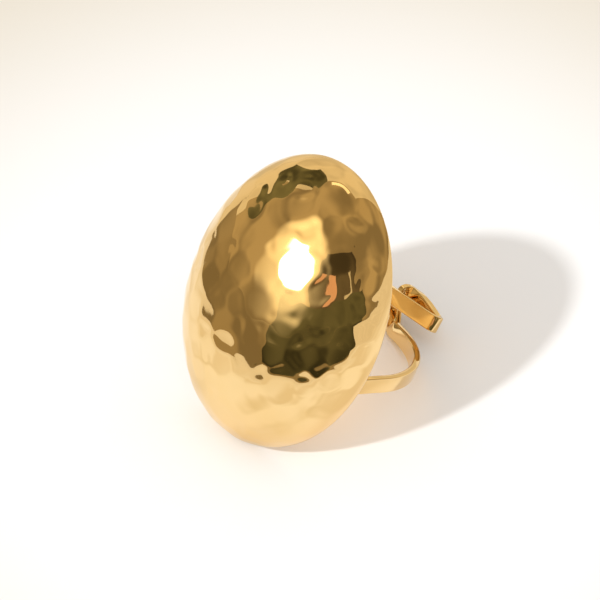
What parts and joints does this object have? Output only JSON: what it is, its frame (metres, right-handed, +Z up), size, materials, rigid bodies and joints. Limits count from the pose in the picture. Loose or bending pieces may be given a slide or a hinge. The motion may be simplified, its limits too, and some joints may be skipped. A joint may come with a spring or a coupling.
{
  "type": "dome ring",
  "caption": "Large oval hammered dome ring on a flat strip band that makes a small loop over itself at the palm, lying on its side.",
  "frame": {"origin": "middle of the bounding box's bottom face, on the surface that the ring lies on", "axes": "+Z is up from that surface, -Y is the way the dome faces, and +X is the side of the band whose low run reaches the palm loop's curl. The finger's axis leans back from +Z towards +Y."},
  "size_m": [0.0222, 0.0266, 0.0263],
  "materials": {
    "gold_plate": "polished gold plating on brass, with soft hammer marks on the dome"
  },
  "bodies": {
    "root": {"dome_ring": "gold_plate"}
  },
  "joints": []
}
